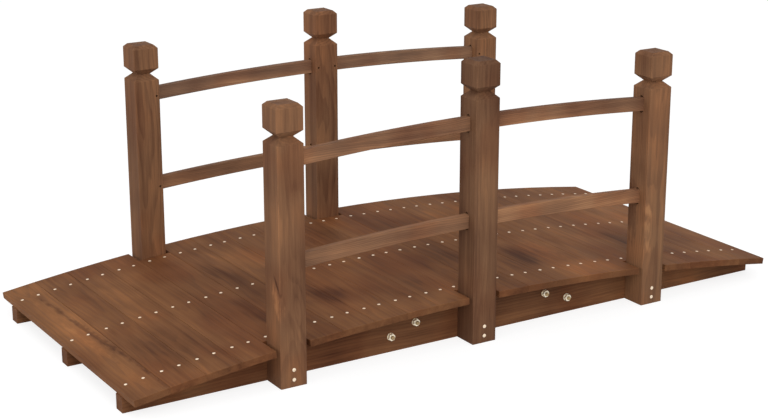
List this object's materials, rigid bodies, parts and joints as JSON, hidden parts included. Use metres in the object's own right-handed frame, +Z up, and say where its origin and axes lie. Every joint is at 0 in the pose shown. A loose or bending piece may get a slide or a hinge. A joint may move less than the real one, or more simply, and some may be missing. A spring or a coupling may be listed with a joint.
{
  "type": "garden moon bridge",
  "caption": "Small arched timber garden bridge: a boarded deck on three arched stringers, with square posts and curved rails on both sides.",
  "frame": {"origin": "on the ground, under the middle of the bridge", "axes": "+X along the bridge, +Y across it towards the far railing, +Z up"},
  "size_m": [1.5, 0.67, 0.568],
  "materials": {
    "deck_timber": "brown stained softwood, satin, with grain and knots",
    "post_timber": "brown stained softwood, satin, with upright grain",
    "rail_timber": "brown stained softwood, satin, with grain along the rail",
    "stringer_timber": "brown stained softwood, satin, with grain along the stringer",
    "splice_plate_timber": "brown stained softwood, satin",
    "fastener_metal": "pale yellow zinc plating"
  },
  "bodies": {
    "root": {"deck_board_01": "deck_timber", "deck_board_02": "deck_timber", "deck_board_03": "deck_timber", "deck_board_04": "deck_timber", "deck_board_05": "deck_timber", "deck_board_06": "deck_timber", "deck_board_07": "deck_timber", "deck_board_08": "deck_timber", "deck_board_09": "deck_timber", "deck_board_10": "deck_timber", "deck_board_11": "deck_timber", "deck_board_12": "deck_timber", "deck_board_13": "deck_timber", "deck_board_14": "deck_timber", "deck_board_15": "deck_timber", "deck_board_16": "deck_timber", "deck_board_17": "deck_timber", "deck_board_18": "deck_timber", "deck_board_19": "deck_timber", "deck_board_20": "deck_timber", "deck_board_21": "deck_timber", "post_far_left": "post_timber", "post_far_middle": "post_timber", "post_far_right": "post_timber", "post_near_left": "post_timber", "post_near_middle": "post_timber", "post_near_right": "post_timber", "rail_far_left_lower": "rail_timber", "rail_far_left_upper": "rail_timber", "rail_far_right_lower": "rail_timber", "rail_far_right_upper": "rail_timber", "rail_near_left_lower": "rail_timber", "rail_near_left_upper": "rail_timber", "rail_near_right_lower": "rail_timber", "rail_near_right_upper": "rail_timber", "splice_bolts_far": "fastener_metal", "splice_bolts_middle": "fastener_metal", "splice_bolts_near": "fastener_metal", "splice_plate_far": "splice_plate_timber", "splice_plate_middle": "splice_plate_timber", "splice_plate_near": "splice_plate_timber", "stringer_far_left": "stringer_timber", "stringer_far_right": "stringer_timber", "stringer_middle_left": "stringer_timber", "stringer_middle_right": "stringer_timber", "stringer_near_left": "stringer_timber", "stringer_near_right": "stringer_timber"}
  },
  "joints": []
}
